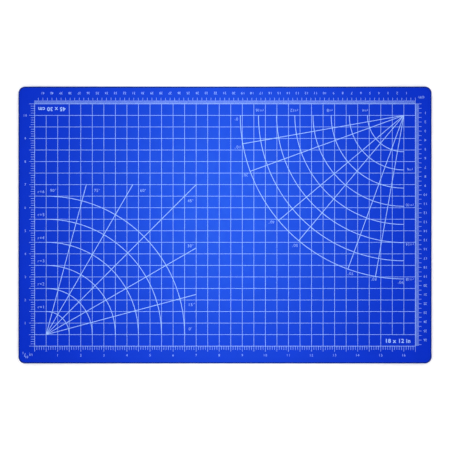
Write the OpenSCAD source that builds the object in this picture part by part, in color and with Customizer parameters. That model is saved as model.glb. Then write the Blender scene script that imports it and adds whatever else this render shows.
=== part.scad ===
// Self-healing cutting mat: five bonded plies with a printed working face.
// The mat lies on its bottom face at Z = 0 and the origin is the middle of that face.
// X runs along the long side. Inches count from the -X -Y corner of the grid, and
// centimetres count from the +X +Y corner, turned half round, so either side can be worked from.

/* [Sheet] */
// Cells along X, each half an inch
columns = 33; // [30:1:60]
// Cells along Y, each half an inch
rows = 21; // [18:1:44]
// Plain border between the grid and each short edge of the mat
margin_x = 17.95; // [17:0.05:30]
// Plain border between the grid and each long edge of the mat
margin_y = 19.15; // [17:0.05:30]
// Radius of the rounded corners
corner_r = 7.5; // [1:0.5:15]

/* [Plies] */
// Thickness of each of the two outer skins
skin_t = 0.5; // [0.3:0.05:1]
// Thickness of each of the two soft plies that close over a cut
healing_t = 0.7; // [0.4:0.05:1.5]
// Thickness of the stiff middle sheet that stops the blade
core_t = 0.6; // [0.3:0.05:1.5]
// How far the stiff middle sheet stops short of the edge
core_inset = 0.1; // [0.05:0.05:0.5]

/* [Print] */
// Thickness of the printed ink
ink_t = 0.03; // [0.02:0.01:0.1]
// Width of a grid line
grid_w = 0.4; // [0.2:0.02:0.6]
// Width of the frame round the grid, which the rulers stand on
frame_w = 0.46; // [0.4:0.02:0.8]
// Width of a ruler tick
tick_w = 0.34; // [0.2:0.02:0.4]
// Width of an angle or radius line
chart_w = 0.66; // [0.2:0.02:0.8]
// Length of the short inch ticks
short_inch_tick = 4.1; // [2:0.1:5]
// Length of the long inch ticks, one each half inch
long_inch_tick = 6; // [4:0.1:7]
// Length of the short centimetre ticks
short_cm_tick = 3.7; // [2:0.1:5]
// Length of the long centimetre ticks, one each 5 mm
long_cm_tick = 6.7; // [4:0.1:8]

/* [Numerals] */
// Height of the ruler numerals
numeral_h = 2.6; // [2:0.1:4]
// Height of the numerals on the angle and radius charts
chart_text_h = 3.2; // [2:0.1:4]
// Height of the two size marks
size_text_h = 4.4; // [3:0.1:5.5]
// Stroke width of a figure, as a share of its height
stroke_share = 0.15; // [0.1:0.01:0.2]

/* [Hidden] */
inch = 25.4;
centimetre = 10;
// Side of one grid cell
cell = inch / 2;
grid_x = columns * cell;
grid_y = rows * cell;
mat_x = grid_x + 2 * margin_x;
mat_y = grid_y + 2 * margin_y;

lower_healing_z = skin_t;
core_z = lower_healing_z + healing_t;
upper_healing_z = core_z + core_t;
top_skin_z = upper_healing_z + healing_t;
face_z = top_skin_z + skin_t;
corner_fn = 64;

// Inch rulers: ten ticks to the inch, a long one each half inch
inch_pitch = inch / 10;
inch_long_every = 5;
// Centimetre rulers: ten ticks to the centimetre, a long one each 5 mm
cm_pitch = centimetre / 10;
cm_long_every = 5;

// Distance from the frame to the middle of each row of ruler numerals
bottom_numeral_gap = 10;
left_numeral_gap = 10.3;
top_numeral_gap = 11.8;
right_numeral_gap = 10.9;

// Both charts start one cell in from their own zero corner of the grid
arc_fn = 360;

// Inch chart: rays run out to the sides of a square of cells
inch_chart_cells = 13;
inch_rays = [15, 30, 45, 60, 75];
inch_radii = [1, 2, 3, 4, 5, 6];
// Each angle and the column and row of the cell that holds its figures
inch_angle_cells = [[0, 12, 0], [15, 12.1, 2.1], [30, 12, 7.2], [45, 12, 11.1],
    [60, 7.9, 12], [75, 3.9, 12], [90, 0.1, 12]];
// Middle of a radius mark, from the end of its arc
inch_radius_offset = [-5.6, 5];

// Centimetre chart: rays run out to the largest arc
cm_rays = [10, 20, 40, 50, 70, 80];
cm_radii = [4, 6, 8, 10, 12, 14, 16, 18];
cm_chart_r = max(cm_radii) * centimetre;
cm_angle_text_r = cm_chart_r + 4;
// Each angle and the nudge of its figures from the ray's end
cm_angle_nudges = [[0, 0.4, 4], [10, 1.8, 2.9], [20, 1.7, 2.7], [40, 4.6, -0.9], [50, 1.5, 2.2],
    [70, -4.4, 1.2], [80, 1.3, -1], [90, 3.6, -0.2]];
// Radii marked along the chart's X axis, with how far each mark sits past the end of its arc
cm_top_marks = [[4, 2.6], [8, 1.6], [12, 0.7], [16, -1.3]];
cm_top_gap = 5.45;
// Radii marked along the chart's Y axis, with how far each mark sits past the end of its arc
cm_side_marks = [[6, -0.3], [10, -1.3], [14, 2], [18, 0.5]];
cm_side_gap = 6.5;

// Size marks sit in a long cell, three cells wide, at two opposite corners
mark_cells = 3;
size_mark_rise = 5.9;

// Unit marks stand outside the two zero corners; the inch one is the tick spacing as a fraction
fraction_place = [-10.8, -9.7];
fraction_h = 0.95 * numeral_h;
inch_mark_place = [-4.1, -8.9];
inch_mark_h = 1.35 * numeral_h;
cm_mark_place = [-6.7, -6.8];
cm_mark_h = 1.45 * numeral_h;

// Degrees turned by each straight piece of a curved stroke
stroke_step = 45;
// Space between two figures, in heights
letter_gap = 0.2;
wide_gap = 0.28;
tight_gap = 0.12;

// ---- Frames ----

// Moves children to the grid's -X -Y corner on the working face
module at_inch_zero()
    translate([-grid_x / 2, -grid_y / 2, face_z])
        children();

// Moves children to the grid's +X +Y corner on the working face, turned half round
module at_cm_zero()
    translate([grid_x / 2, grid_y / 2, face_z])
        rotate(180)
            children();

module ink()
    color("lavender")
        linear_extrude(ink_t)
            children();

// ---- Plies ----

module rounded_sheet(x, y, r) {
    square([x - 2 * r, y], center = true);
    square([x, y - 2 * r], center = true);
    for (sx = [-1, 1], sy = [-1, 1])
        translate([sx * (x / 2 - r), sy * (y / 2 - r)])
            circle(r, $fn = corner_fn);
}

module ply(z, t, inset = 0)
    translate([0, 0, z])
        linear_extrude(t)
            rounded_sheet(mat_x - 2 * inset, mat_y - 2 * inset, corner_r - inset);

module bottom_skin()
    color("royalblue")
        ply(0, skin_t);

module lower_healing_ply()
    color("mediumblue")
        ply(lower_healing_z, healing_t);

module core_sheet()
    color("whitesmoke")
        ply(core_z, core_t, core_inset);

module upper_healing_ply()
    color("mediumblue")
        ply(upper_healing_z, healing_t);

module top_skin()
    color("royalblue")
        ply(top_skin_z, skin_t);

// ---- Grid ----

module upright_line(x, y0, y1)
    translate([x - grid_w / 2, y0])
        square([grid_w, y1 - y0]);

module level_line(y, x0, x1)
    translate([x0, y - grid_w / 2])
        square([x1 - x0, grid_w]);

// Lines inside the frame; those that would cross a size mark stop at the line that bounds it
module grid_lines() {
    start = frame_w / 2;
    for (i = [1 : columns - 1]) {
        y0 = i > columns - mark_cells ? cell : start;
        y1 = i < mark_cells ? grid_y - cell : grid_y - start;
        upright_line(i * cell, y0, y1);
    }
    for (j = [1 : rows - 1])
        level_line(j * cell, start, grid_x - start);
}

module half_inch_grid()
    at_inch_zero()
        ink()
            grid_lines();

// ---- Rulers ----

// How many whole units fit into a length
function whole_units(length, unit_length) = floor(length / unit_length + 0.01);

// Outline of one tick that points to -Y from the frame, at X = x
function tick_outline(x, len) = [
    [x - tick_w / 2, -frame_w / 2],
    [x - tick_w / 2, -len],
    [x + tick_w / 2, -len],
    [x + tick_w / 2, -frame_w / 2]
];

// One side of the frame with its ticks as one outline; the ends are mitred to meet the next side
function ruler_outline(span, pitch, long_every, long_len, short_len) =
    let (half = frame_w / 2, last = whole_units(span, pitch))
    concat(
        [[-half, -half]],
        [for (i = [0 : last])
            let (len = i % long_every == 0 ? long_len : short_len)
            each tick_outline(i * pitch, len)],
        [[span + half, -half], [span - half, half], [half, half]]
    );

// The same points run backwards with X and Y exchanged, which turns a bottom side into a left one
function swapped(points) =
    [for (i = [len(points) - 1 : -1 : 0]) [points[i].y, points[i].x]];

function inch_ruler_outline(span) =
    ruler_outline(span, inch_pitch, inch_long_every, long_inch_tick, short_inch_tick);
function cm_ruler_outline(span) =
    ruler_outline(span, cm_pitch, cm_long_every, long_cm_tick, short_cm_tick);

module bottom_inch_ruler()
    at_inch_zero()
        ink()
            polygon(inch_ruler_outline(grid_x));

module left_inch_ruler()
    at_inch_zero()
        ink()
            polygon(swapped(inch_ruler_outline(grid_y)));

module top_centimetre_ruler()
    at_cm_zero()
        ink()
            polygon(cm_ruler_outline(grid_x));

module right_centimetre_ruler()
    at_cm_zero()
        ink()
            polygon(swapped(cm_ruler_outline(grid_y)));

// ---- Charts ----

module at_chart()
    translate([cell, cell])
        children();

module ray(angle, length)
    rotate(angle)
        translate([0, -chart_w / 2])
            square([length, chart_w]);

// The square that a chart uses, clear of the two grid lines that it starts from
module quarter(side)
    translate([grid_w / 2, grid_w / 2])
        square(side - grid_w / 2);

module arc_lines(radii)
    intersection() {
        for (r = radii)
            difference() {
                circle(r + chart_w / 2, $fn = arc_fn);
                circle(r - chart_w / 2, $fn = arc_fn);
            }
        quarter(max(radii) + cell);
    }

module inch_arc_lines()
    arc_lines([for (r = inch_radii) r * inch]);

module cm_arc_lines()
    arc_lines([for (r = cm_radii) r * centimetre]);

module inch_ray_lines() {
    side = inch_chart_cells * cell;
    intersection() {
        for (a = inch_rays)
            ray(a, 2 * side);
        quarter(side);
    }
}

module cm_ray_lines()
    intersection() {
        for (a = cm_rays)
            ray(a, cm_chart_r);
        quarter(cm_chart_r);
    }

// Grid lines seen from each chart's own origin
module grid_from_inch_chart()
    translate([-cell, -cell])
        grid_lines();

module grid_from_cm_chart()
    translate([grid_x - cell, grid_y - cell])
        rotate(180)
            grid_lines();

module inch_angle_rays()
    at_inch_zero()
        at_chart()
            ink()
                difference() {
                    inch_ray_lines();
                    grid_from_inch_chart();
                }

module inch_radius_arcs()
    at_inch_zero()
        at_chart()
            ink()
                difference() {
                    inch_arc_lines();
                    inch_ray_lines();
                    grid_from_inch_chart();
                }

module centimetre_angle_rays()
    at_cm_zero()
        at_chart()
            ink()
                difference() {
                    cm_ray_lines();
                    grid_from_cm_chart();
                }

module centimetre_radius_arcs()
    at_cm_zero()
        at_chart()
            ink()
                difference() {
                    cm_arc_lines();
                    cm_ray_lines();
                    grid_from_cm_chart();
                }

// ---- Figures ----
// Each figure is drawn by strokes in a box one unit high, with its left side at X = 0.

function unit(v) = v / norm(v);
function left_of(v) = [-v.y, v.x];

// Sideways step at a point of a stroke that keeps both edges a unit from its middle line
function side_step(p, i) =
    let (before = unit(p[max(i, 1)] - p[max(i, 1) - 1]),
         after = unit(p[min(i, len(p) - 2) + 1] - p[min(i, len(p) - 2)]),
         m = unit(left_of(before) + left_of(after)))
    m / (m * left_of(after));

function curve(centre, radii, from, to) =
    let (n = ceil(abs(to - from) / stroke_step))
    [for (i = [0 : n])
        let (a = from + (to - from) * i / n)
        centre + [radii.x * cos(a), radii.y * sin(a)]];

module stroke(p) {
    half = stroke_share / 2;
    last = len(p) - 1;
    polygon(concat(
        [for (i = [0 : last]) p[i] + half * side_step(p, i)],
        [for (i = [last : -1 : 0]) p[i] - half * side_step(p, i)]
    ));
}

module loop(centre, radii)
    difference() {
        polygon(oval(centre, radii, stroke_share / 2));
        polygon(oval(centre, radii, -stroke_share / 2));
    }

function oval(centre, radii, grow) =
    [for (a = [0 : stroke_step : 360 - stroke_step])
        centre + [(radii.x + grow) * cos(a), (radii.y + grow) * sin(a)]];

// The bow and far leg of the letters m and n
module arch(x0, x1, top) {
    r = (x1 - x0) / 2;
    stroke(concat(curve([x0 + r, top - r], [r, r], 180, 0), [[x1, 0]]));
}

module six() {
    loop([0.3, 0.3], [0.22, 0.23]);
    stroke(curve([0.5, 0.3], [0.42, 0.63], 180, 100));
}

module figure(c) {
    low = stroke_share / 2;
    high = 1 - low;
    x_height = 0.66;
    if (c == "0")
        loop([0.3, 0.5], [0.22, high - 0.5]);
    if (c == "1") {
        stroke([[0.12, 0.72], [0.34, high]]);
        stroke([[0.34, 0], [0.34, 1]]);
    }
    if (c == "2") {
        stroke(concat(curve([0.29, 0.69], [0.22, high - 0.69], 165, -30), [[0.1, low]]));
        stroke([[0.04, low], [0.55, low]]);
    }
    if (c == "3") {
        stroke(concat(curve([0.28, 0.72], [0.21, high - 0.72], 150, -90), [[0.18, 0.51]]));
        stroke(concat([[0.18, 0.49]], curve([0.28, 0.28], [0.23, 0.21], 90, -150)));
    }
    if (c == "4") {
        stroke([[0.42, 0], [0.42, 1]]);
        stroke([[0.42, high], [0.06, 0.3]]);
        stroke([[0.01, 0.28], [0.58, 0.28]]);
    }
    if (c == "5") {
        stroke([[0.5, high], [0.13, high], [0.1, 0.5]]);
        stroke(curve([0.28, 0.32], [0.24, 0.32 - low], 130, -150));
    }
    if (c == "6")
        six();
    if (c == "7")
        stroke([[0.04, high], [0.48, high], [0.18, 0]]);
    if (c == "8") {
        loop([0.3, 0.72], [0.19, high - 0.72]);
        loop([0.3, 0.28], [0.23, 0.28 - low]);
    }
    if (c == "9")
        translate([0.6, 1])
            rotate(180)
                six();
    if (c == "=") {
        stroke([[0.06, 0.34], [0.54, 0.34]]);
        stroke([[0.06, 0.62], [0.54, 0.62]]);
    }
    if (c == "°")
        loop([0.16, 0.85], [0.12, 0.12]);
    if (c == "c")
        stroke(curve([0.32, x_height / 2], [0.24, x_height / 2 - low], 50, 310));
    if (c == "i") {
        stroke([[0.1, 0], [0.1, x_height]]);
        stroke([[0.1, 0.8], [0.1, 0.96]]);
    }
    if (c == "m") {
        stroke([[0.1, 0], [0.1, x_height]]);
        arch(0.1, 0.42, x_height - low);
        arch(0.42, 0.74, x_height - low);
    }
    if (c == "n") {
        stroke([[0.1, 0], [0.1, x_height]]);
        arch(0.1, 0.5, x_height - low);
    }
    if (c == "r") {
        stroke([[0.1, 0], [0.1, x_height]]);
        stroke(curve([0.34, 0.36], [0.24, 0.24], 180, 70));
    }
    if (c == "x") {
        stroke([[0.06, 0], [0.5, x_height]]);
        stroke([[0.06, x_height], [0.5, 0]]);
    }
}

function figure_width(c) =
    c == " " ? 0.2 :
    c == "i" ? 0.2 :
    c == "°" ? 0.32 :
    c == "r" ? 0.44 :
    c == "m" ? 0.84 : 0.6;

// Where figure i of a word starts, in heights from the word's left side
function figure_start(word, i, gap) =
    i == 0 ? 0 : figure_start(word, i - 1, gap) + figure_width(word[i - 1]) + gap;

// A word centred on the origin
module word(name, h, gap = letter_gap) {
    width = figure_start(name, len(name), gap) - gap;
    scale(h)
        for (i = [0 : len(name) - 1])
            translate([figure_start(name, i, gap) - width / 2, -0.5])
                figure(name[i]);
}

// Numbers along X at the given distance below the frame, one each unit
module number_row(span, pitch, gap)
    for (i = [1 : whole_units(span, pitch)])
        translate([i * pitch, -gap])
            word(str(i), numeral_h, tight_gap);

// Numbers along Y at the given distance left of the frame, one each unit
module number_column(span, pitch, gap)
    for (i = [1 : whole_units(span, pitch)])
        translate([-gap, i * pitch])
            word(str(i), numeral_h, tight_gap);

module bottom_inch_numerals()
    at_inch_zero()
        ink()
            number_row(grid_x, inch, bottom_numeral_gap);

module left_inch_numerals()
    at_inch_zero()
        ink()
            number_column(grid_y, inch, left_numeral_gap);

module top_centimetre_numerals()
    at_cm_zero()
        ink()
            number_row(grid_x, centimetre, top_numeral_gap);

module right_centimetre_numerals()
    at_cm_zero()
        ink()
            number_column(grid_y, centimetre, right_numeral_gap);

module inch_chart_figures()
    at_inch_zero()
        at_chart()
            ink() {
                for (a = inch_angle_cells)
                    translate([(a[1] + 0.5) * cell, (a[2] + 0.5) * cell])
                        word(str(a[0], "°"), chart_text_h);
                for (r = inch_radii)
                    translate([0, r * inch] + inch_radius_offset)
                        word(str("r=", r), chart_text_h, wide_gap);
            }

module centimetre_chart_figures()
    at_cm_zero()
        at_chart()
            ink() {
                for (a = cm_angle_nudges)
                    translate([cm_angle_text_r * cos(a[0]) + a[1], cm_angle_text_r * sin(a[0]) + a[2]])
                        word(str(a[0], "°"), chart_text_h);
                for (m = cm_top_marks)
                    translate([m[0] * centimetre + m[1], -cm_top_gap])
                        word(str("r=", m[0]), chart_text_h, tight_gap);
                for (m = cm_side_marks)
                    translate([-cm_side_gap, m[0] * centimetre + m[1]])
                        word(str("r=", m[0]), chart_text_h, tight_gap);
            }

// A fraction one over a number, on either side of a slanted stroke
module one_over(number, h) {
    translate([-0.75 * h, 0.9 * h])
        word("1", h);
    translate([0.8 * h, -0.9 * h])
        word(str(number), h, tight_gap);
    scale(h)
        stroke([[-0.6, -0.8], [0.6, 0.8]]);
}

module unit_marks() {
    at_inch_zero()
        ink() {
            translate(fraction_place)
                one_over(inch / inch_pitch, fraction_h);
            translate(inch_mark_place)
                word("in", inch_mark_h);
        }
    at_cm_zero()
        ink()
            translate(cm_mark_place)
                word("cm", cm_mark_h, tight_gap);
}

// A sheet's nominal size in whole units; the sheet may be up to a tenth of a unit short of it
function nominal(length, unit_length) = floor(length / unit_length + 0.1);

// The nominal size, in the long cell that lies last along X and first along Y
module size_mark(unit_length, unit_name) {
    x = nominal(mat_x, unit_length);
    y = nominal(mat_y, unit_length);
    translate([grid_x - mark_cells * cell / 2, size_mark_rise])
        word(str(x, " x ", y, " ", unit_name), size_text_h);
}

module size_marks() {
    at_inch_zero()
        ink()
            size_mark(inch, "in");
    at_cm_zero()
        ink()
            size_mark(centimetre, "cm");
}

bottom_skin();
lower_healing_ply();
core_sheet();
upper_healing_ply();
top_skin();
half_inch_grid();
bottom_inch_ruler();
left_inch_ruler();
top_centimetre_ruler();
right_centimetre_ruler();
inch_angle_rays();
inch_radius_arcs();
centimetre_angle_rays();
centimetre_radius_arcs();
bottom_inch_numerals();
left_inch_numerals();
top_centimetre_numerals();
right_centimetre_numerals();
inch_chart_figures();
centimetre_chart_figures();
unit_marks();
size_marks();
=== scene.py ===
import math

import bmesh
import bpy
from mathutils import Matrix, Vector, noise


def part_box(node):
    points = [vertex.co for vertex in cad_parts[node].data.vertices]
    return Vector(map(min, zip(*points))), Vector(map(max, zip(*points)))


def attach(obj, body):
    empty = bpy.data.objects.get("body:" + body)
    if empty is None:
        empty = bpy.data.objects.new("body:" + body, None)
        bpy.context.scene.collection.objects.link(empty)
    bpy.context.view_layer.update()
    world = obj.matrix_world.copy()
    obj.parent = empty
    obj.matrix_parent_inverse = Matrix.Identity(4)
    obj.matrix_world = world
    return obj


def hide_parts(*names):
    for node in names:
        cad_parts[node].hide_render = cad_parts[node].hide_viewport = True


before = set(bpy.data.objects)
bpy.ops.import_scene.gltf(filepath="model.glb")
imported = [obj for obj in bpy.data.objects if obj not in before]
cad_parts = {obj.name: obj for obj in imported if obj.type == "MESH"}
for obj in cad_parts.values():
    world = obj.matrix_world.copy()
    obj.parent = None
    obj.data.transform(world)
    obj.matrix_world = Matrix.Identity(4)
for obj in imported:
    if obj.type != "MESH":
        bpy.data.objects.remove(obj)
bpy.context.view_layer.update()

MM = 0.001
INCH = 25.4 * MM
CENTIMETRE = 10 * MM


# ---- Places, all worked out from the frame ----

grid_low, grid_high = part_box("half_inch_grid")
sheet_low, sheet_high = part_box("top_skin")
FACE_Z = sheet_high.z
SKIN_THICKNESS = sheet_high.z - sheet_low.z
INK_THICKNESS = grid_high.z - grid_low.z
# Points closer than this to a side lie on it
ON_SIDE = 0.01 * MM


def corner_radius():
    """The short side's straight stretch ends where the rounded corner starts."""
    reach = sheet_high.x - ON_SIDE
    straight = max(v.co.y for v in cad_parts["top_skin"].data.vertices if v.co.x > reach)
    return sheet_high.y - straight


CORNER_RADIUS = corner_radius()


# ---- Materials ----

SKIN_BLUE = (0.0005, 0.0155, 0.475)
PLY_BLUE = (0.0005, 0.012, 0.36)
# Painted shade: the skins' rounded rims and cut sides are coloured darker all round, for the shade that
# falls on the edge
EDGE_SHADE_BLUE = (0.0003, 0.004, 0.17)
CORE_GREY = (0.70, 0.71, 0.68)
INK_PALE = (0.29, 0.45, 0.88)
BLUE_SHINE = (0.145, 0.59, 1.0)
WHITE_SHINE = (1.0, 1.0, 1.0)
FLOOR_WHITE = (0.97, 0.97, 0.97)
# A faint glow keeps the floor as white as a studio's
FLOOR_GLOW = 0.08
FLOOR_ROUGHNESS = 0.9

# Noise scales are in features per metre
MOTTLING_SCALE = 45
MOTTLING_DETAIL = 4
GLOSS_SCALE = 160
GLOSS_DETAIL = 2
GLOSS_SPREAD = 0.015
COVERAGE_SCALE = 700
COVERAGE_DETAIL = 3
# Nearly all values of a noise texture lie between these
NOISE_LOW = 0.3
NOISE_HIGH = 0.7

VINYL_SPECULAR = 0.5
PEBBLE_STRENGTH = 0.5
INK_SPECULAR = 0.2
INK_ROUGHNESS = 0.6
THINNEST_INK = 0.9


def new_material(name):
    material = bpy.data.materials.new(name)
    material.use_nodes = True
    return material, material.node_tree.nodes, material.node_tree.links


def add_noise(nodes, links, scale, detail):
    """Noise over the object's own coordinates."""
    coordinates = nodes.new("ShaderNodeTexCoord")
    texture = nodes.new("ShaderNodeTexNoise")
    texture.inputs["Scale"].default_value = scale
    texture.inputs["Detail"].default_value = detail
    links.new(coordinates.outputs["Object"], texture.inputs["Vector"])
    return texture.outputs["Fac"]


def add_range(nodes, links, value, low, high):
    """Spreads a noise value over a range."""
    spread = nodes.new("ShaderNodeMapRange")
    spread.inputs["From Min"].default_value = NOISE_LOW
    spread.inputs["From Max"].default_value = NOISE_HIGH
    spread.inputs["To Min"].default_value = low
    spread.inputs["To Max"].default_value = high
    links.new(value, spread.inputs["Value"])
    return spread.outputs["Result"]


def add_mix(nodes, links, factor, dark, light):
    mix = nodes.new("ShaderNodeMix")
    mix.data_type = "RGBA"
    mix.inputs["A"].default_value = (*dark, 1)
    mix.inputs["B"].default_value = (*light, 1)
    links.new(factor, mix.inputs["Factor"])
    return mix.outputs["Result"]


def add_pebbles(nodes, links, grain, depth):
    """The normal of a surface covered with rounded pebbles, each about a grain wide."""
    coordinates = nodes.new("ShaderNodeTexCoord")
    pebbles = nodes.new("ShaderNodeTexVoronoi")
    pebbles.feature = "SMOOTH_F1"
    pebbles.inputs["Scale"].default_value = 1 / grain
    links.new(coordinates.outputs["Object"], pebbles.inputs["Vector"])
    bump = nodes.new("ShaderNodeBump")
    bump.inputs["Distance"].default_value = depth
    bump.inputs["Strength"].default_value = PEBBLE_STRENGTH
    links.new(pebbles.outputs["Distance"], bump.inputs["Height"])
    return bump.outputs["Normal"]


def vinyl(name, colour, variation, grain, grain_depth, roughness, tint):
    """Matte moulded PVC: a fine pebbled grain, slow mottling of the pigment and uneven gloss."""
    material, nodes, links = new_material(name)
    shader = nodes["Principled BSDF"]
    shader.inputs["Specular IOR Level"].default_value = VINYL_SPECULAR
    shader.inputs["Specular Tint"].default_value = (*tint, 1)
    dark = [c * (1 - variation) for c in colour]
    light = [c * (1 + variation) for c in colour]
    mottling = add_noise(nodes, links, MOTTLING_SCALE, MOTTLING_DETAIL)
    share = add_range(nodes, links, mottling, 0, 1)
    links.new(add_mix(nodes, links, share, dark, light), shader.inputs["Base Color"])
    gloss = add_noise(nodes, links, GLOSS_SCALE, GLOSS_DETAIL)
    uneven = add_range(nodes, links, gloss, roughness - GLOSS_SPREAD, roughness + GLOSS_SPREAD)
    links.new(uneven, shader.inputs["Roughness"])
    links.new(add_pebbles(nodes, links, grain, grain_depth), shader.inputs["Normal"])
    return material


def printed_ink(name, colour):
    """Screen-printed ink: matte, and a little thin in places."""
    material, nodes, links = new_material(name)
    shader = nodes["Principled BSDF"]
    shader.inputs["Specular IOR Level"].default_value = INK_SPECULAR
    shader.inputs["Roughness"].default_value = INK_ROUGHNESS
    thin = [c * THINNEST_INK for c in colour]
    coverage = add_noise(nodes, links, COVERAGE_SCALE, COVERAGE_DETAIL)
    share = add_range(nodes, links, coverage, 0, 1)
    links.new(add_mix(nodes, links, share, thin, colour), shader.inputs["Base Color"])
    return material


def floor_paper():
    material, nodes, _ = new_material("pale_floor")
    shader = nodes["Principled BSDF"]
    shader.inputs["Base Color"].default_value = (*FLOOR_WHITE, 1)
    shader.inputs["Roughness"].default_value = FLOOR_ROUGHNESS
    shader.inputs["Emission Color"].default_value = (1, 1, 1, 1)
    shader.inputs["Emission Strength"].default_value = FLOOR_GLOW
    shader.inputs["Specular IOR Level"].default_value = 0.0
    return material


skin = vinyl("skin_vinyl", SKIN_BLUE, variation=0.03, grain=0.9 * MM, grain_depth=0.05 * MM,
             roughness=0.42, tint=BLUE_SHINE)
# Painted shade: this darker blue on the skins' rims and sides stands in for the shade on the rounded
# edge
edge = vinyl("edge_shade_vinyl", EDGE_SHADE_BLUE, variation=0.05, grain=0.9 * MM, grain_depth=0.03 * MM,
             roughness=0.5, tint=BLUE_SHINE)
healing = vinyl("healing_vinyl", PLY_BLUE, variation=0.05, grain=0.5 * MM, grain_depth=0.03 * MM,
                roughness=0.5, tint=BLUE_SHINE)
core = vinyl("core_plastic", CORE_GREY, variation=0.03, grain=0.4 * MM, grain_depth=0.02 * MM,
             roughness=0.5, tint=WHITE_SHINE)
ink = printed_ink("printed_ink", INK_PALE)


def add_piece(name, mesh, node, material, side_material=None):
    piece = bpy.data.objects.new(name, mesh)
    bpy.context.scene.collection.objects.link(piece)
    mesh.materials.append(material)
    if side_material:
        mesh.materials.append(side_material)
    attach(piece, "root")
    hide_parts(node)


# ---- Plies ----

CORNER_PARTS = 12
OUTLINE_STEP = 2 * MM
# Sizes of the nested loops that fill a face, as shares of its rim
LOOP_SHARES = (0.96, 0.85, 0.7, 0.5, 0.3, 0.15, 0.05)

# The die leaves an uneven edge, whose waves are about this long
WAVE_LENGTH = 9 * MM
FIRM_WOBBLE = 0.03 * MM
SOFT_WOBBLE = 0.05 * MM
# The noise is nil at whole numbers, so each ply takes a row halfway between two
FIRST_NOISE_ROW = 1.5

FACE_RIM_WIDTH = 1.5 * MM
FACE_RIM_DROP = 0.38 * MM
FACE_RIM_PARTS = 8
UNDERSIDE_RIM = 0.3 * MM
UNDERSIDE_RIM_PARTS = 5
BULGE = 0.08 * MM
BULGE_PARTS = 6


def outline(half_x, half_y, radius, step):
    """Points round a rounded rectangle, each with its outward direction, anticlockwise."""
    points = []
    corners = [(1, -1, -90), (1, 1, 0), (-1, 1, 90), (-1, -1, 180)]
    for i, (sx, sy, start) in enumerate(corners):
        centre = Vector((sx * (half_x - radius), sy * (half_y - radius)))
        for k in range(CORNER_PARTS + 1):
            angle = math.radians(start + 90 * k / CORNER_PARTS)
            out = Vector((math.cos(angle), math.sin(angle)))
            points.append((centre + radius * out, out))
        next_sx, next_sy, _ = corners[(i + 1) % 4]
        end = math.radians(start + 90)
        out = Vector((math.cos(end), math.sin(end)))
        a = centre + radius * out
        b = Vector((next_sx * (half_x - radius), next_sy * (half_y - radius))) + radius * out
        parts = round((b - a).length / step)
        points += [(a.lerp(b, k / parts), out) for k in range(1, parts)]
    return points


def fill_flat(bm, rim, upwards):
    """Closes a rim with nested loops of quads and one small face in the middle."""
    outer = rim
    for share in LOOP_SHARES:
        inner = [bm.verts.new((v.co.x * share, v.co.y * share, v.co.z)) for v in rim]
        for i in range(len(rim)):
            j = (i + 1) % len(rim)
            corners = (outer[i], outer[j], inner[j], inner[i])
            bm.faces.new(corners if upwards else reversed(corners))
        outer = inner
    bm.faces.new(outer if upwards else reversed(outer))


def ply_mesh(name, node, profile, wobble, noise_row, side_index):
    """A sheet with its edge shaped by a profile of (inset, share of thickness) from bottom to top.
    The die's unevenness only ever cuts inwards."""
    low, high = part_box(node)
    rim = outline(high.x, high.y, CORNER_RADIUS, OUTLINE_STEP)
    bm = bmesh.new()
    rings = []
    for inset, share in profile:
        z = low.z + share * (high.z - low.z)
        ring = []
        for p, out in rim:
            n = noise.noise(Vector((p.x / WAVE_LENGTH, p.y / WAVE_LENGTH, noise_row)))
            depth = inset + wobble * (0.5 + 0.5 * n)
            q = p - depth * out
            ring.append(bm.verts.new((q.x, q.y, z)))
        rings.append(ring)
    count = len(rim)
    for lower, upper in zip(rings, rings[1:]):
        for i in range(count):
            j = (i + 1) % count
            side = bm.faces.new((lower[i], lower[j], upper[j], upper[i]))
            side.smooth = True
            side.material_index = side_index
    fill_flat(bm, rings[0], False)
    fill_flat(bm, rings[-1], True)
    mesh = bpy.data.meshes.new(name)
    bm.to_mesh(mesh)
    bm.free()
    return mesh


def rolled(width, drop, parts, top):
    """A rounded edge at the top or bottom of a skin, which falls by a drop over a width."""
    points = []
    for k in range(parts + 1):
        a = math.radians(90 * k / parts)
        points.append((width * (1 - math.cos(a)), 1 - drop * (1 - math.sin(a)) / SKIN_THICKNESS))
    if top:
        return [(0, 0)] + points
    return [(inset, 1 - share) for inset, share in reversed(points)] + [(0, 1)]


def barrel(bulge, parts):
    """Both ends sit in by the bulge, and the middle reaches the full size."""
    return [(bulge * (2 * k / parts - 1) ** 2, k / parts) for k in range(parts + 1)]


def build_plies():
    underside_rim = rolled(UNDERSIDE_RIM, UNDERSIDE_RIM, UNDERSIDE_RIM_PARTS, False)
    face_rim = rolled(FACE_RIM_WIDTH, FACE_RIM_DROP, FACE_RIM_PARTS, True)
    bulged = barrel(BULGE, BULGE_PARTS)
    straight = [(0, 0), (0, 1)]
    # The skins' sides take the darker blue of the painted edge shade
    plies = [
        ("bottom_skin_sheet", "bottom_skin", "skin", skin, edge, underside_rim, FIRM_WOBBLE),
        ("lower_healing_sheet", "lower_healing_ply", "healing_ply", healing, None, bulged, SOFT_WOBBLE),
        ("core_board", "core_sheet", "core", core, None, straight, FIRM_WOBBLE),
        ("upper_healing_sheet", "upper_healing_ply", "healing_ply", healing, None, bulged, SOFT_WOBBLE),
        ("top_skin_sheet", "top_skin", "skin", skin, edge, face_rim, FIRM_WOBBLE),
    ]
    for i, (name, node, slot, material, side_material, profile, wobble) in enumerate(plies):
        side_index = 1 if side_material else 0
        mesh = ply_mesh(name, node, profile, wobble, FIRST_NOISE_ROW + i, side_index)
        add_piece(name, mesh, node, material, side_material)


# ---- Lines ----

CELL = INCH / 2
# The rulers reach the outer edge of the frame line, and the grid starts at its inner edge
FRAME_OUTSIDE = Vector((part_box("top_centimetre_ruler")[0].x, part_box("right_centimetre_ruler")[0].y))
INCH_ZERO = FRAME_OUTSIDE.lerp(grid_low.xy, 0.5)
CENTIMETRE_ZERO = -INCH_ZERO

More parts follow.
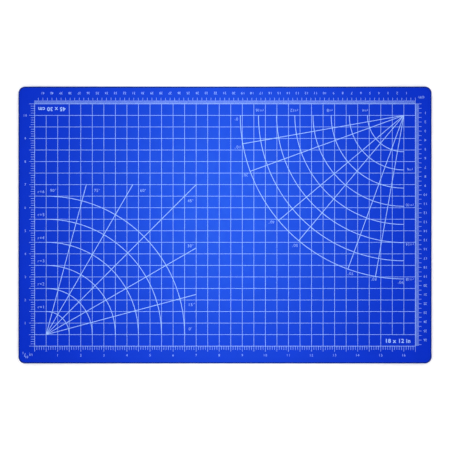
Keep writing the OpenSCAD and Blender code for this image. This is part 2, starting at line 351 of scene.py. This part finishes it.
LINE_NODES = [
    "half_inch_grid",
    "bottom_inch_ruler", "left_inch_ruler", "top_centimetre_ruler", "right_centimetre_ruler",
    "inch_angle_rays", "centimetre_angle_rays",
]
INCH_RADII = [1, 2, 3, 4, 5, 6]
# Their marks stand by turns under the top ruler and beside the right one
CENTIMETRE_RADII = [4, 6, 8, 10, 12, 14, 16, 18]

# The arcs lie just under the rays and the grid lines that cross them
ARC_HEIGHT = 0.9 * INK_THICKNESS
ARC_PARTS = 90


def finish_lines():
    for name in LINE_NODES:
        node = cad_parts[name]
        node.data.materials.clear()
        node.data.materials.append(ink)


def chart_origin(corner, side):
    """Each chart starts one cell in from its corner of the grid. side is +1 for a chart that opens
    towards +X +Y, and -1 for one that opens the other way."""
    return corner + side * Vector((CELL, CELL))


def add_arc(bm, origin, side, radius, half_width, clearance):
    """A quarter ring with a flat top, which stops short of the two grid lines that bound its chart."""
    start = math.asin(clearance / radius)
    inner = radius - half_width
    outer = radius + half_width
    section = [(inner, 0), (outer, 0), (outer, ARC_HEIGHT), (inner, ARC_HEIGHT)]
    rings = []
    for k in range(ARC_PARTS + 1):
        a = start + (math.pi / 2 - 2 * start) * k / ARC_PARTS
        out = side * Vector((math.cos(a), math.sin(a)))
        ring = []
        for reach, rise in section:
            p = origin + reach * out
            ring.append(bm.verts.new((p.x, p.y, FACE_Z + rise)))
        rings.append(ring)
    for near, far in zip(rings, rings[1:]):
        for i in range(4):
            j = (i + 1) % 4
            bm.faces.new((near[i], near[j], far[j], far[i]))
    bm.faces.new(reversed(rings[0]))
    bm.faces.new(rings[-1])


def build_arcs():
    """The box of a chart's arcs gives their line width and how far they keep from the grid lines."""
    charts = [
        ("inch", INCH_ZERO, 1, [r * INCH for r in INCH_RADII]),
        ("centimetre", CENTIMETRE_ZERO, -1, [r * CENTIMETRE for r in CENTIMETRE_RADII]),
    ]
    for unit, corner, side, radii in charts:
        node = f"{unit}_radius_arcs"
        origin = chart_origin(corner, side)
        low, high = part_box(node)
        near, far = sorted((side * (low.x - origin.x), side * (high.x - origin.x)))
        half_width = math.hypot(far, near) - max(radii)
        bm = bmesh.new()
        for radius in radii:
            add_arc(bm, origin, side, radius, half_width, near)
        bmesh.ops.recalc_face_normals(bm, faces=bm.faces)
        mesh = bpy.data.meshes.new(node)
        bm.to_mesh(mesh)
        bm.free()
        add_piece(f"{unit}_smooth_arcs", mesh, node, ink)


# ---- Type: each word stands in the box of the CAD's simpler strokes ----

INCH_ANGLES = [0, 15, 30, 45, 60, 75, 90]
CENTIMETRE_ANGLES = [0, 10, 20, 40, 50, 70, 80, 90]
TICKS_PER_INCH = 10
DEGREE = chr(176)
HALF_TURN = math.pi

# Points closer than this are one point
SAME_POINT = 0.001 * MM
# Marks closer than this belong to one word; the size marks have wider spaces in them
WORD_GAP = 2.2 * MM
UNIT_GAP = 1.15 * MM
SIZE_MARK_GAP = 3.6 * MM
# Radius marks stand further than this outside the sides of their chart
RADIUS_MARK_REACH = 3.2 * MM
# A sheet may be sold as a whole number of units when it is up to this much of one unit short
SHORTFALL = 0.1

# Height of a figure in a fraction, as a share of the whole
FRACTION_FIGURE = 0.36
# The rest of a fraction, in heights of a figure: the slash's height, the number's width, and how far
# in from the sides the two are centred
FRACTION_SLASH = 1.6
FRACTION_NUMBER_WIDTH = 1.15
FRACTION_TOP_X = 0.17
FRACTION_BOTTOM_X = 0.58

# How far the outline of the type is moved out, in type sizes; thinner than drawn if it is negative
INCH_NUMERAL_WEIGHT = -0.008
CENTIMETRE_NUMERAL_WEIGHT = -0.004
INCH_CHART_WEIGHT = -0.009
CENTIMETRE_CHART_WEIGHT = -0.015
UNIT_WEIGHT = -0.01
FRACTION_WEIGHT = 0.004
SIZE_WEIGHT = 0.03

CURVE_PARTS = 3
HALF_THICK = 0.5
# Letters are never set closer than this share of their normal spacing
TIGHTEST = 0.9


def islands(node):
    """Boxes (x0, y0, x1, y1) of the separate printed marks in a CAD node."""
    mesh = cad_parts[node].data
    keys = [tuple(round(c / SAME_POINT) for c in v.co) for v in mesh.vertices]
    leader = {k: k for k in keys}

    def find(k):
        while leader[k] != k:
            leader[k] = leader[leader[k]]
            k = leader[k]
        return k

    for face in mesh.polygons:
        first = find(keys[face.vertices[0]])
        for i in face.vertices:
            leader[find(keys[i])] = first
    boxes = {}
    for key, v in zip(keys, mesh.vertices):
        x0, y0, x1, y1 = boxes.get(find(key), (v.co.x, v.co.y, v.co.x, v.co.y))
        boxes[find(key)] = (min(x0, v.co.x), min(y0, v.co.y), max(x1, v.co.x), max(y1, v.co.y))
    return list(boxes.values())


def words(node, gap):
    """Boxes of the words in a node: marks that lie within a gap of each other belong together."""
    found = []
    for box in islands(node):
        apart = []
        for other in found:
            near_x = box[0] < other[2] + gap and other[0] < box[2] + gap
            near_y = box[1] < other[3] + gap and other[1] < box[3] + gap
            if near_x and near_y:
                box = (min(box[0], other[0]), min(box[1], other[1]),
                       max(box[2], other[2]), max(box[3], other[3]))
            else:
                apart.append(other)
        found = apart + [box]
    return found


def middle(box):
    return Vector(((box[0] + box[2]) / 2, (box[1] + box[3]) / 2))


def typeset(text, spacing, weight):
    """The vertices and faces of a line of type, one unit in size and one unit thick."""
    curve = bpy.data.curves.new("type", "FONT")
    curve.body = text
    curve.size = 1
    curve.space_character = spacing
    curve.offset = weight
    curve.extrude = HALF_THICK
    curve.resolution_u = CURVE_PARTS
    holder = bpy.data.objects.new("type", curve)
    bpy.context.scene.collection.objects.link(holder)
    evaluated = holder.evaluated_get(bpy.context.evaluated_depsgraph_get())
    mesh = evaluated.to_mesh()
    vertices = [v.co.copy() for v in mesh.vertices]
    faces = [tuple(f.vertices) for f in mesh.polygons]
    evaluated.to_mesh_clear()
    bpy.data.objects.remove(holder)
    bpy.data.curves.remove(curve)
    return vertices, faces


def extent(vertices, axis):
    values = [v[axis] for v in vertices]
    return min(values), max(values)


def set_in_box(text, width, height, weight):
    """Type scaled to a height and spaced out to a width, centred on the origin."""
    vertices, faces = typeset(text, 1, weight)
    low, high = extent(vertices, 1)
    if len(text) > 1:
        # The width grows evenly with the spacing, so two settings give the one that fits
        tight = extent(vertices, 0)
        loose = extent(typeset(text, 2, weight)[0], 0)
        natural = tight[1] - tight[0]
        added = (loose[1] - loose[0]) - natural
        spacing = 1 + (width * (high - low) / height - natural) / added
        vertices, faces = typeset(text, max(spacing, TIGHTEST), weight)
    size = height / (high - low)
    left, right = extent(vertices, 0)
    x_shift, y_shift = (left + right) / 2, (low + high) / 2
    centred = [Vector(((v.x - x_shift) * size, (v.y - y_shift) * size, v.z + HALF_THICK))
               for v in vertices]
    return centred, faces


def print_mesh(name, labels):
    """A layer of ink on the face, from labels of (text, width, height, place, turn, weight)."""
    all_vertices, all_faces = [], []
    for text, width, height, place, turn, weight in labels:
        vertices, faces = set_in_box(text, width, height, weight)
        start = len(all_vertices)
        c, s = math.cos(turn), math.sin(turn)
        for v in vertices:
            x = place.x + c * v.x - s * v.y
            y = place.y + s * v.x + c * v.y
            all_vertices.append((x, y, FACE_Z + v.z * INK_THICKNESS))
        all_faces += [tuple(start + i for i in f) for f in faces]
    mesh = bpy.data.meshes.new(name)
    mesh.from_pydata(all_vertices, [], all_faces)
    mesh.validate()
    return mesh


def label(text, box, turn, weight):
    return (text, box[2] - box[0], box[3] - box[1], middle(box), turn, weight)


def numbered(node, order, turn, weight):
    """The numbers of a ruler, counted in order of a place along it."""
    boxes = sorted(words(node, WORD_GAP), key=order)
    return [label(str(i + 1), box, turn, weight) for i, box in enumerate(boxes)]


def chart_labels(node, corner, side, angles, radii, turn, weight):
    """Radius marks stand outside two sides of the chart, and angle marks follow the turn of its rays."""
    origin = chart_origin(corner, side)
    radius_boxes, angle_boxes = [], []
    for box in words(node, WORD_GAP):
        from_origin = side * (middle(box) - origin)
        group = radius_boxes if min(from_origin) < -RADIUS_MARK_REACH else angle_boxes
        group.append((from_origin, box))
    radius_boxes.sort(key=lambda found: max(found[0]))
    angle_boxes.sort(key=lambda found: math.atan2(found[0].y, found[0].x))
    texts = [f"r={r}" for r in radii] + [f"{a}{DEGREE}" for a in angles]
    boxes = [box for _, box in radius_boxes + angle_boxes]
    return [label(text, box, turn, weight) for text, box in zip(texts, boxes)]


def fraction_labels(box, number):
    """One over a number: figures in two opposite corners of the box, on either side of a slash."""
    tall = FRACTION_FIGURE * (box[3] - box[1])
    top_place = Vector((box[0] + FRACTION_TOP_X * tall, box[3] - 0.5 * tall))
    slash_place = Vector((box[0] + tall, middle(box).y))
    bottom_place = Vector((box[2] - FRACTION_BOTTOM_X * tall, box[1] + 0.5 * tall))
    return [
        ("1", 0, tall, top_place, 0, FRACTION_WEIGHT),
        ("/", 0, FRACTION_SLASH * tall, slash_place, 0, FRACTION_WEIGHT),
        (str(number), FRACTION_NUMBER_WIDTH * tall, tall, bottom_place, 0, FRACTION_WEIGHT),
    ]


def nominal(length, unit):
    """The whole number of units that a length is sold as."""
    return math.floor(length / unit + SHORTFALL)


def build_numerals():
    rows = [
        ("bottom_inch_numerals", lambda b: b[0], 0, INCH_NUMERAL_WEIGHT),
        ("left_inch_numerals", lambda b: b[1], 0, INCH_NUMERAL_WEIGHT),
        ("top_centimetre_numerals", lambda b: -b[0], HALF_TURN, CENTIMETRE_NUMERAL_WEIGHT),
        ("right_centimetre_numerals", lambda b: -b[1], HALF_TURN, CENTIMETRE_NUMERAL_WEIGHT),
    ]
    for node, order, turn, weight in rows:
        name = node.replace("numerals", "numbers")
        add_piece(name, print_mesh(name, numbered(node, order, turn, weight)), node, ink)


def build_chart_labels():
    charts = [
        ("inch", INCH_ZERO, 1, INCH_ANGLES, INCH_RADII, 0, INCH_CHART_WEIGHT),
        ("centimetre", CENTIMETRE_ZERO, -1, CENTIMETRE_ANGLES, CENTIMETRE_RADII, HALF_TURN,
         CENTIMETRE_CHART_WEIGHT),
    ]
    for unit, corner, side, angles, radii, turn, weight in charts:
        node = f"{unit}_chart_figures"
        name = f"{unit}_chart_labels"
        labels = chart_labels(node, corner, side, angles, radii, turn, weight)
        add_piece(name, print_mesh(name, labels), node, ink)


def build_unit_words():
    """From left to right: the fraction and "in" at the lower left, and "cm" at the upper right."""
    boxes = sorted(words("unit_marks", UNIT_GAP), key=lambda box: middle(box).x)
    fraction_box, inch_box, centimetre_box = boxes
    labels = fraction_labels(fraction_box, TICKS_PER_INCH)
    labels.append(label("in", inch_box, 0, UNIT_WEIGHT))
    labels.append(label("cm", centimetre_box, HALF_TURN, UNIT_WEIGHT))
    add_piece("unit_words", print_mesh("unit_words", labels), "unit_marks", ink)


def build_size_words():
    """The inch size is on the right and upright, the centimetre size on the left and turned round."""
    size = sheet_high - sheet_low
    labels = []
    for box in words("size_marks", SIZE_MARK_GAP):
        unit, name, turn = (INCH, "in", 0) if middle(box).x > 0 else (CENTIMETRE, "cm", HALF_TURN)
        text = f"{nominal(size.x, unit)} x {nominal(size.y, unit)} {name}"
        labels.append(label(text, box, turn, SIZE_WEIGHT))
    add_piece("size_words", print_mesh("size_words", labels), "size_marks", ink)


# ---- Studio ----

# The sheet fills 0.92 of the picture's width
PICTURE_WIDTH = 495.32 * MM
LENS = 100
SENSOR_WIDTH = 36

FLOOR_REACH = 8.0
# Just clear of the underside, because two faces in one plane shade in streaks
FLOOR_Z = -0.05 * MM

# Light of the room by the sine of the height above the horizon, from the horizon to straight up
ROOM_LIGHT = [(0.0, 0.12), (0.3, 0.15), (0.48, 1.0), (0.62, 1.0), (0.74, 0.01)]


def build_floor():
    mesh = bpy.data.meshes.new("floor")
    turns = [(-1, -1), (1, -1), (1, 1), (-1, 1)]
    corners = [(sx * FLOOR_REACH, sy * FLOOR_REACH, FLOOR_Z) for sx, sy in turns]
    mesh.from_pydata(corners, [], [(0, 1, 2, 3)])
    floor = bpy.data.objects.new("floor", mesh)
    bpy.context.scene.collection.objects.link(floor)
    floor.data.materials.append(floor_paper())


def build_world(strength):
    """A white room whose ceiling is dark over the mat, so that the matte face keeps its colour."""
    world = bpy.data.worlds.new("studio")
    world.use_nodes = True
    bpy.context.scene.world = world
    nodes, links = world.node_tree.nodes, world.node_tree.links
    background = nodes["Background"]
    background.inputs["Strength"].default_value = strength
    coordinates = nodes.new("ShaderNodeTexCoord")
    direction = nodes.new("ShaderNodeSeparateXYZ")
    links.new(coordinates.outputs["Generated"], direction.inputs["Vector"])
    room = nodes.new("ShaderNodeValToRGB")
    ramp = room.color_ramp
    while len(ramp.elements) < len(ROOM_LIGHT):
        ramp.elements.new(1.0)
    for element, (height, light) in zip(ramp.elements, ROOM_LIGHT):
        element.position = height
        element.color = (light, light, light, 1)
    links.new(direction.outputs["Z"], room.inputs["Fac"])
    links.new(room.outputs["Color"], background.inputs["Color"])


def add_spot(name, height, y, power, cone, stretch, softness):
    """A soft pool of light on the middle of the mat, longer along Y than along X."""
    light = bpy.data.lights.new(name, "SPOT")
    light.energy = power
    light.spot_size = math.radians(cone)
    light.spot_blend = 1.0
    light.shadow_soft_size = softness
    lamp = bpy.data.objects.new(name, light)
    bpy.context.scene.collection.objects.link(lamp)
    lamp.location = (0, y, height)
    lamp.scale = (1, stretch, 1)
    target = Vector((0, y / 2, 0))
    lamp.rotation_euler = (target - lamp.location).to_track_quat("-Z", "Y").to_euler()


def build_camera():
    """Straight down, from far enough that the sheet shows no sides."""
    camera = bpy.data.cameras.new("camera")
    camera.lens = LENS
    camera.sensor_width = SENSOR_WIDTH
    holder = bpy.data.objects.new("camera", camera)
    bpy.context.scene.collection.objects.link(holder)
    holder.location = (0, 0, FACE_Z + PICTURE_WIDTH * LENS / SENSOR_WIDTH)
    bpy.context.scene.camera = holder


build_camera()
build_plies()
finish_lines()
build_arcs()
build_numerals()
build_chart_labels()
build_unit_words()
build_size_words()
build_floor()
build_world(strength=3.3)
add_spot("key", height=1.6, y=0.045, power=53, cone=15, stretch=1.65, softness=0.15)

bpy.context.scene.view_settings.view_transform = "Standard"
